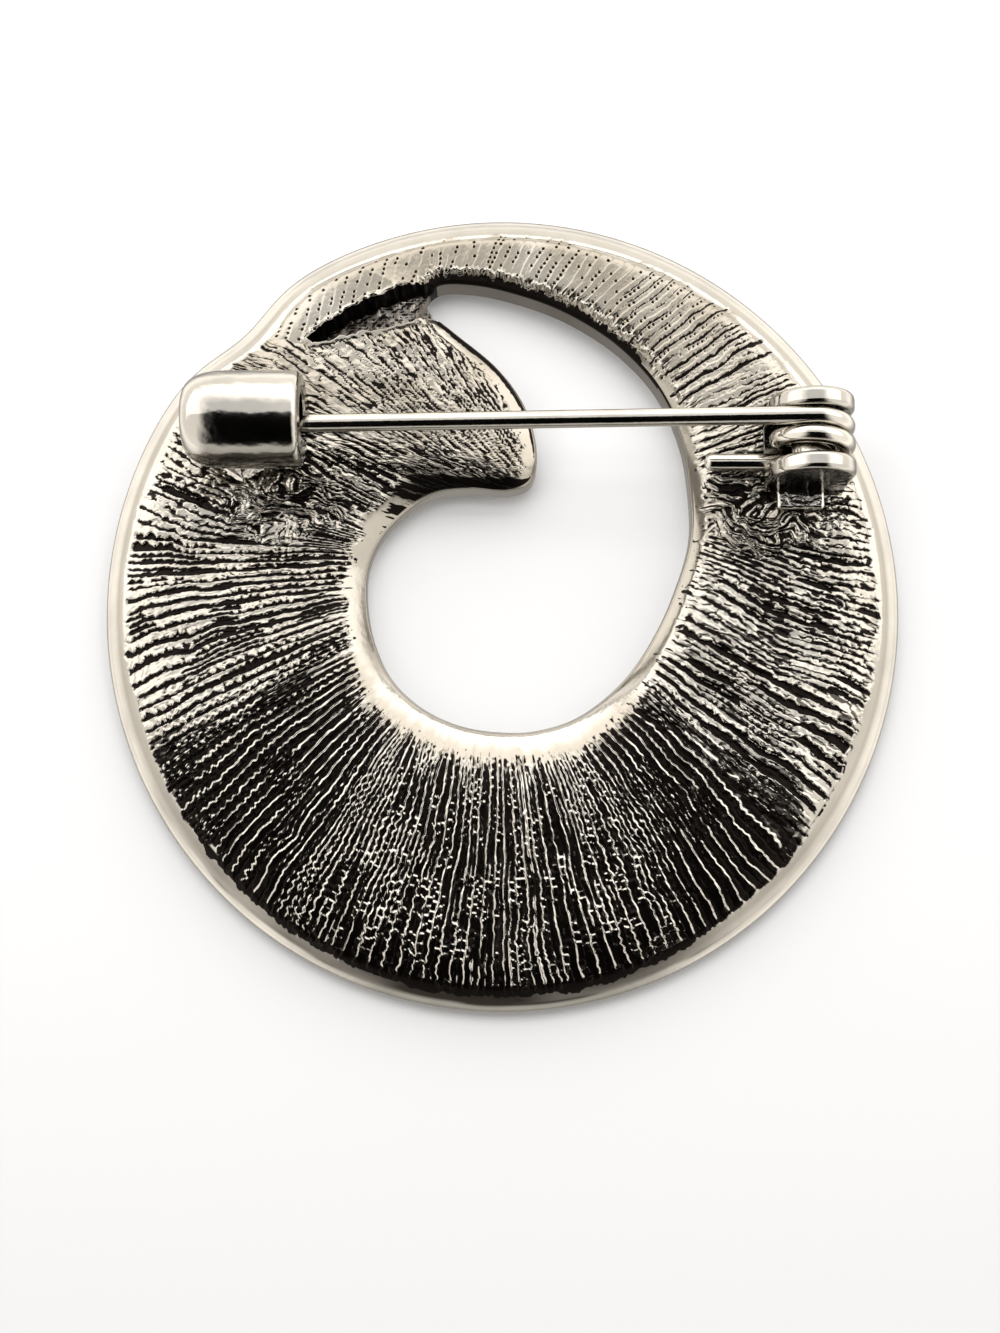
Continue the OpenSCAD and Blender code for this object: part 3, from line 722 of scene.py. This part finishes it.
# Half the pad's width, the tab's reach to each side of the coil, and the end and the base of the wall between the
# front's cells
PAD_HALF, TAB_X = 1.9, (-1.4, 0.85)
WALL_END, WALL_BASE = (-4.1, 14.85), 0.06


def from_bmesh(name, bm, material, bevel=0.0, segments=3, angle=35):
    """An object from a bmesh in mm, with its edges rounded by the bevel's width."""
    mesh = bpy.data.meshes.new(name)
    bm.to_mesh(mesh)
    bm.free()
    mesh.transform(Matrix.Scale(MM, 4))
    obj = add_object(name, mesh, material)
    for p in mesh.polygons:
        p.use_smooth = True
    if bevel:
        mod = obj.modifiers.new("bevel", "BEVEL")
        mod.width = bevel * MM
        mod.segments = segments
        mod.limit_method = "ANGLE"
        mod.angle_limit = math.radians(angle)
        mod.harden_normals = True
    return obj


def apply_modifiers(obj):
    graph = bpy.context.evaluated_depsgraph_get()
    mesh = bpy.data.meshes.new_from_object(obj.evaluated_get(graph))
    old = obj.data
    obj.modifiers.clear()
    obj.data = mesh
    mesh.name = obj.name
    bpy.data.meshes.remove(old)


def revolve(profile, steps):
    """A closed solid turned about X from points as (x, radius), starting and ending on the axis."""
    bm = bmesh.new()
    turn = [2 * math.pi * j / steps for j in range(steps)]
    rings = [[bm.verts.new((x, r * math.cos(a), r * math.sin(a))) for a in (turn if r else (0,))] for x, r in profile]
    for a, b in zip(rings, rings[1:]):
        for j in range(steps):
            k = (j + 1) % steps
            corners = [a[j % len(a)], a[k % len(a)], b[k % len(b)], b[j % len(b)]]
            bm.faces.new(list(dict.fromkeys(corners)))
    bmesh.ops.recalc_face_normals(bm, faces=bm.faces)
    return bm


def barrel():
    """The catch: a barrel with one closed end, its bore, and the slot under it."""
    r, (closed, mouth) = BARREL_D / 2, BARREL_X
    profile = [(closed, 0), (closed, r - CLOSED_H)]
    profile += [
        (closed + CLOSED_REACH * (1 - c), r - CLOSED_H + CLOSED_H * (1 - c**2.5) ** 0.4)
        for c in np.cos(np.radians(np.linspace(10, 90, 22)))
    ]
    profile += [(mouth - back, r - down) for back, down in MOUTH]
    profile.append((mouth, 0))
    bm = revolve(profile, 96)
    bmesh.ops.translate(bm, verts=bm.verts, vec=(0, BARREL_Y, BARREL_Z))
    obj = from_bmesh("catch_barrel", bm, bright_metal)
    bottom, bore = mouth - BORE_DEPTH, BORE_D / 2
    cut = revolve([
        (bottom, 0), (bottom, bore - 0.1), (bottom + 0.1, bore), (mouth - 0.1, bore), (mouth + 0.3, bore + 0.4),
        (mouth + 0.3, 0),
    ], 64)
    bmesh.ops.translate(cut, verts=cut.verts, vec=(0, BORE_Y, BORE_Z))
    cutter = from_bmesh("cutter", cut, bright_metal)
    slot_bm = bmesh.new()
    bmesh.ops.create_cube(slot_bm, size=1)
    slot_x, slot_len = FOOT_X[1] + 0.2, 3
    bmesh.ops.scale(slot_bm, verts=slot_bm.verts, vec=(slot_len, SLOT_W, BORE_Z))
    bmesh.ops.translate(slot_bm, verts=slot_bm.verts, vec=(slot_x + slot_len / 2, PIN_Y, BORE_Z / 2))
    slotter = from_bmesh("slotter", slot_bm, bright_metal)
    for tool in (cutter, slotter):
        mod = obj.modifiers.new("cut", "BOOLEAN")
        mod.operation = "DIFFERENCE"
        mod.solver = "EXACT"
        mod.object = tool
    apply_modifiers(obj)
    for tool in (cutter, slotter):
        bpy.data.objects.remove(tool)
    # The bore and the slot get painted shade inside, and the end face is tarnished
    for metal in (shade_and_dirt_metal, end_metal):
        obj.data.materials.append(metal)
    for p in obj.data.polygons:
        x, y, z = p.center / MM
        bored = math.hypot(y - BORE_Y, z - BORE_Z) < bore + 0.02 and bottom - 0.02 < x < mouth - 0.02
        slotted = abs(y - PIN_Y) < SLOT_W / 2 + 0.01 and z < BORE_Z and FOOT_X[1] + 0.1 < x < mouth - 0.02
        if bored or (slotted and abs(p.normal.z) < 0.5 and abs(p.normal.y) > 0.9):
            p.material_index = 1
        elif x > mouth - 0.11:
            p.material_index = 2
    obj.data.set_sharp_from_angle(angle=math.radians(30))
    return obj


def prism(name, outline, axis, start, thick, material, bevel, segments=4):
    """A plate with the given outline, points in mm across its axis, from start along that axis."""
    bm = bmesh.new()
    place = {"y": lambda a, b, c: (a, c, b), "z": lambda a, b, c: (a, b, c)}[axis]
    low = [bm.verts.new(place(a, b, start)) for a, b in outline]
    high = [bm.verts.new(place(a, b, start + thick)) for a, b in outline]
    n = len(outline)
    bm.faces.new(low)
    bm.faces.new(high[::-1])
    for i in range(n):
        bm.faces.new((low[i], high[i], high[(i + 1) % n], low[(i + 1) % n]))
    bmesh.ops.recalc_face_normals(bm, faces=bm.faces)
    obj = from_bmesh(name, bm, material, bevel, segments)
    apply_modifiers(obj)
    return obj


def solder_foot():
    """A faceted cone of solder between the barrel and the plate, drawn out to a toe."""
    bm = bmesh.new()
    steps, levels = 11, 4
    rings = []
    for i in range(levels):
        f = i / (levels - 1)
        z = FOOT_TOP + 0.1 - (FOOT_TOP + 0.1 - TOE_Z) * f
        wide, toe = 0.9 + 0.75 * f**2 + 0.5 * (1 - f) ** 3, 0.6 + 1.75 * f**1.9
        ring = []
        for j in range(steps):
            a = 2 * math.pi * (j + 0.3 * math.sin(2.3 * j) + 0.12 * i) / steps
            fold = 1 + 0.1 * math.cos(3 * a + 1.2) * (1 - 0.4 * f) + 0.07 * math.cos(5 * a + 2 * f)
            out = -math.sin(a)
            reach = -toe * abs(out) ** 1.4 if out > 0 else 1.6 * abs(out)
            ring.append(bm.verts.new((TOE_X + wide * math.cos(a) * fold, TOE_Y + reach * fold, z)))
        rings.append(ring)
    for low, high in zip(rings, rings[1:]):
        for j in range(steps):
            k = (j + 1) % steps
            bm.faces.new((low[j], low[k], high[k]))
            bm.faces.new((low[j], high[k], high[j]))
    bm.faces.new(rings[0][::-1])
    bm.faces.new(rings[-1])
    bmesh.ops.recalc_face_normals(bm, faces=bm.faces)
    obj = from_bmesh("catch_foot", bm, solder_metal, 0.04, 2, 12)
    apply_modifiers(obj)
    return obj


def block(name, xs, ys, top, material, bevel):
    """A block from the root up to the top, with rounded edges."""
    outline = [(xs[0], ys[0]), (xs[1], ys[0]), (xs[1], ys[1]), (xs[0], ys[1])]
    return prism(name, outline, "z", ROOT_Z, top - ROOT_Z, material, bevel)


finish_piece(barrel(), *CASTING)
finish_piece(solder_foot(), *CASTING)
r = EAR_D / 2
ear_outline = [(COIL_X - r, ROOT_Z)]
ear_outline += [(COIL_X - r * math.cos(a), COIL_Z + r * math.sin(a)) for a in np.radians(np.linspace(0, 180, 37))]
ear_outline += [(COIL_X + r, ROOT_Z)]
for name, y in zip(("near_ear", "far_ear"), EAR_YS):
    ear = prism(name, ear_outline, "y", y - 0.05, EAR_T + 0.1, ear_metal, 0.26, 6)
    # The ears' faces towards -Y, away from the light, get painted shade
    ear.data.materials.append(shade_and_dirt_metal)
    for p in ear.data.polygons:
        if p.normal.y < -0.97:
            p.material_index = 1
    finish_piece(ear, *CASTING)
pad_y = (EAR_YS[0] + 0.2, EAR_YS[1] + 0.2)
# The pad between the ears gets painted shade, for the dark gap beside the coil
pad = block("hinge_pad", (COIL_X - PAD_HALF, COIL_X + PAD_HALF), pad_y, PAD_TOP, shade_and_dirt_metal, 0.05)
finish_piece(pad, *CASTING)
tab = block("hinge_tab", [COIL_X + x for x in TAB_X], (TAB_Y, pad_y[0]), PAD_TOP + 0.45, solder_metal, 0.18)
finish_piece(tab, *CASTING)

# The low wall between the two cells of the front, from beside the dent to the hole's outer corner
dent = np.radians(DENT_AT)
start = np.array([(PLATE_W / 2 - DENT_DEPTH) * np.cos(dent), (PLATE_L / 2 - DENT_DEPTH) * np.sin(dent)])
stop = np.array(WALL_END)
ahead = (stop - start) / np.linalg.norm(stop - start)
start = start + 0.6 * RIM_W * ahead
across = CELL_WALL / 2 * np.array([-ahead[1], ahead[0]])
wall_outline = [start + across, stop + across, stop - across, start - across]
cell_wall = prism("cell_wall", wall_outline, "z", WALL_BASE, POCKET - WALL_BASE, bright_metal, 0.04)
finish_piece(cell_wall, *CASTING)

# The rivet is turned about X and then laid along Y
near, far, r = EAR_YS[0] + 0.2, EAR_YS[1] + 0.4, RIVET_D / 2
rivet_bm = revolve([(near, 0), (near, r), (far, r), (far, 0)], 48)
for vert in rivet_bm.verts:
    vert.co = Vector((COIL_X + vert.co.y, vert.co.x, COIL_Z + vert.co.z))
rivet = from_bmesh("hinge_rivet", rivet_bm, bright_metal)
rivet.data.set_sharp_from_angle(angle=math.radians(40))
finish_piece(rivet, *CASTING)


# The sprung wire

WIRE_R = WIRE_D / 2

# Turns of the coil on the pin, and those on the spring's end, with the sections on each and on the shaft
PIN_TURNS, END_TURNS = 1.3, (1.325, 1.5)
PIN_STEPS, END_STEPS, SHAFT_STEPS = 110, 24, 14

# The spring's straight end: distance from the coil and share of the wire's radius; it bends away from the coil
LEG = ((0.5, 1), (1, 1), (2, 1), (3, 1), (4, 1), (4.45, 1), (4.6, 0.94), (4.72, 0.75), (4.78, 0.45), (4.8, 0.1))
LEG_AWAY = 0.06


def coil_point(turn):
    """The wire's middle after this many turns from the top."""
    a = 2 * math.pi * turn
    return np.array([COIL_X + COIL_R * math.sin(a), COIL_Y - COIL_PITCH * turn, COIL_Z + COIL_R * math.cos(a)])


def tube(name, path, radii, sides=28):
    path, radii = np.array(path), np.array(radii)
    d = np.empty_like(path)
    d[1:-1] = path[2:] - path[:-2]
    d[0], d[-1] = path[1] - path[0], path[-1] - path[-2]
    d /= np.linalg.norm(d, axis=1)[:, None]
    side = np.cross([0, 1, 0], d)
    side /= np.linalg.norm(side, axis=1)[:, None]
    up = np.cross(d, side)
    a = np.arange(sides) * 2 * math.pi / sides
    around = np.cos(a)[None, :, None] * side[:, None, :] + np.sin(a)[None, :, None] * up[:, None, :]
    rings = path[:, None, :] + radii[:, None, None] * around
    n = len(path)
    i = np.arange(n - 1)[:, None] * sides
    j = np.arange(sides)[None, :]
    k = (j + 1) % sides
    faces = np.stack([i + j, i + k, i + sides + k, i + sides + j], -1).reshape(-1, 4)
    ends = [rings[0].mean(0), rings[-1].mean(0)]
    verts = np.concatenate([rings.reshape(-1, 3), ends])
    last = (n - 1) * sides
    caps = [(n * sides, (q + 1) % sides, q) for q in range(sides)]
    caps += [(n * sides + 1, last + q, last + (q + 1) % sides) for q in range(sides)]
    mesh = bpy.data.meshes.new(name)
    mesh.from_pydata((verts * MM).tolist(), [], faces.tolist() + caps)
    for p in mesh.polygons:
        p.use_smooth = True
    mesh.update()
    return add_object(name, mesh, wire_metal)


top = coil_point(0)
mouth = np.array([BARREL_X[1], PIN_Y - 0.05, BORE_Z + 0.25])
line = (mouth - top) / (mouth[0] - top[0])
tip_x = BARREL_X[1] - 1.65
xs = [tip_x, tip_x + 0.04, tip_x + 0.4, tip_x + 1.2, tip_x + 2.2, tip_x + 3]
rs = [0.02, 0.05, 0.45 * WIRE_R, 0.78 * WIRE_R, WIRE_R, WIRE_R]
xs += list(np.linspace(-6, COIL_X - 1.2, SHAFT_STEPS))
rs += [WIRE_R] * (SHAFT_STEPS + PIN_STEPS)
straight = [top + line * (x - top[0]) for x in xs]
coil = [coil_point(q) for q in np.linspace(0, PIN_TURNS, PIN_STEPS)]
finish_piece(tube("sprung_pin", straight + coil, rs), "pin", "pin_wire", "pin_stem")
coil = [coil_point(q) for q in np.linspace(*END_TURNS, END_STEPS)]
leg = [coil[-1] - np.array([q, LEG_AWAY * min(q, 1), 0]) for q, _ in LEG]
rs = [WIRE_R] * END_STEPS + [share * WIRE_R for _, share in LEG]
finish_piece(tube("spring_end", coil + leg, rs), "plate", "pin_wire", "spring_tail")

# The enamel keeps its CAD solid

m, nodes, links, bsdf = new_material("plain_enamel")
coord = nodes.new("ShaderNodeTexCoord").outputs["Object"]
cloud = node(m.node_tree, "ShaderNodeTexNoise", Scale=260, Detail=4)
flecks = node(m.node_tree, "ShaderNodeTexVoronoi", Scale=5200)
tones = []
for texture, output, stops in (
    (cloud, "Fac", ((0.35, (0.012, 0.06, 0.13, 1)), (0.65, (0.025, 0.12, 0.21, 1)))),
    (flecks, "Distance", ((0.1, (0.2, 0.42, 0.55, 1)), (0.22, (0, 0, 0, 1)))),
):
    links.new(coord, texture.inputs["Vector"])
    tones.append(ramp(m.node_tree, texture.outputs[output], stops))
mix = nodes.new("ShaderNodeMix")
mix.data_type = "RGBA"
mix.blend_type = "ADD"
mix.inputs["Factor"].default_value = 0.35
for value, name in zip(tones, "AB"):
    links.new(value, mix.inputs[name])
links.new(mix.outputs["Result"], bsdf.inputs["Base Color"])
swell = node(m.node_tree, "ShaderNodeBump", Strength=0.2, Distance=0.0002)
links.new(cloud.outputs["Fac"], swell.inputs["Height"])
links.new(swell.outputs["Normal"], bsdf.inputs["Normal"])
set_inputs(bsdf, Roughness=0.24, Coat_Weight=0.8, Coat_Roughness=0.05)
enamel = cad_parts["enamel_inlay"]
enamel.data.materials.clear()
enamel.data.materials.append(m)

# Floor, light and camera

m, nodes, links, bsdf = new_material("pale_floor")
set_inputs(bsdf, Base_Color=(0.595, 0.599, 0.61, 1), Roughness=0.9)
half, floor_z = 1.5, -0.00003
corners = [(-half, -half, floor_z), (half, -half, floor_z), (half, half, floor_z), (-half, half, floor_z)]
floor_mesh = bpy.data.meshes.new("floor")
floor_mesh.from_pydata(corners, [], [(0, 1, 2, 3)])
floor = add_object("floor", floor_mesh, m)
floor.visible_glossy = False

world = bpy.data.worlds.new("studio")
bpy.context.scene.world = world
world.use_nodes = True
wn, wl = world.node_tree.nodes, world.node_tree.links
background = wn["Background"]
coord = wn.new("ShaderNodeTexCoord")
split = wn.new("ShaderNodeSeparateXYZ")
wl.new(coord.outputs["Generated"], split.inputs["Vector"])


def world_math(operation, a, b=None):
    math_node = wn.new("ShaderNodeMath")
    math_node.operation = operation
    for socket, value in zip(math_node.inputs, (a, b)):
        if isinstance(value, (int, float)):
            socket.default_value = value
        elif value is not None:
            wl.new(value, socket)
    return math_node.outputs[0]


def world_step(value, low, high):
    """A smooth step from 0 at low to 1 at high, where low may also be the greater of the two."""
    step = node(world.node_tree, "ShaderNodeMapRange", From_Min=low, From_Max=high)
    step.interpolation_type = "SMOOTHSTEP"
    wl.new(value, step.inputs["Value"])
    return step.outputs["Result"]


def world_turn(angle, low, high):
    return world_step(angle, math.radians(low), math.radians(high))


def world_rise(low, high):
    return world_step(split.outputs["Z"], low, high)


def times(a, b):
    return world_math("MULTIPLY", a, b)


# Light walls behind, in front and at both sides, by the direction's lean; the side and the front ones are weaker
SIDE_SHARE, FRONT_SHARE, WALL_LIGHT, LOW_LIGHT = 0.92, 0.5, 1.85, 0.55
lean_y = world_math("ARCTAN2", split.outputs["Y"], split.outputs["Z"])
lean_x = world_math("ARCSINE", world_math("ABSOLUTE", split.outputs["X"]))
back = times(world_turn(lean_y, 20, 46), world_turn(lean_y, 170, 110))
sides = times(world_turn(lean_x, 17, 42), SIDE_SHARE)
front = times(world_turn(lean_y, -72, -84), world_turn(lean_y, -170, -110))
front = times(front, FRONT_SHARE)
# Each light wall thins out at the horizon, the side ones further down, and little comes back from below
back = times(back, world_rise(-0.7, -0.2))
front = times(front, world_rise(-0.38, 0.05))
sides = times(sides, world_rise(-0.75, -0.2))
ends = world_math("MAXIMUM", back, front)
level = world_math("SUBTRACT", world_math("ADD", ends, sides), times(ends, sides))
below = times(world_rise(0, -0.3), LOW_LIGHT)
strength = world_math("ADD", times(level, WALL_LIGHT), below)
set_inputs(background, Color=(1, 0.97, 0.92, 1))
wl.new(strength, background.inputs["Strength"])


def softbox(name, size, place, aim, energy, mirrored):
    data = bpy.data.lights.new(name, "AREA")
    data.shape = "RECTANGLE"
    data.size, data.size_y = size
    data.energy = energy
    light = add_object(name, data)
    light.location = place
    light.rotation_euler = (Vector(aim) - Vector(place)).to_track_quat("-Z", "Y").to_euler()
    light.visible_glossy = mirrored
    light.visible_camera = False


# The overhead box ends above the plate's middle, so that its mirror image lights the upper part of the back alone
softbox("overhead", (0.5, 0.24), (0, 0.127, 0.078), (0, 0.127, 0), 0.5, True)
softbox("key", (0.22, 0.16), (-0.02, 0.16, 0.3), (0, 0, 0), 0.45, False)

# The camera stands as the photo's did, 8 degrees from straight above
target = Vector((-0.12, -3.0, 0)) * MM
place = Vector((-0.12, -13.31, 73.38)) * MM
camera_data = bpy.data.cameras.new("camera")
camera_data.lens = 41.59
camera_data.sensor_width = 36
camera_data.clip_start = 0.004
camera_data.clip_end = 10
camera = add_object("camera", camera_data)
camera.location = place
camera.rotation_euler = (target - place).to_track_quat("-Z", "Y").to_euler()
bpy.context.scene.camera = camera
bpy.context.scene.view_settings.view_transform = "Standard"
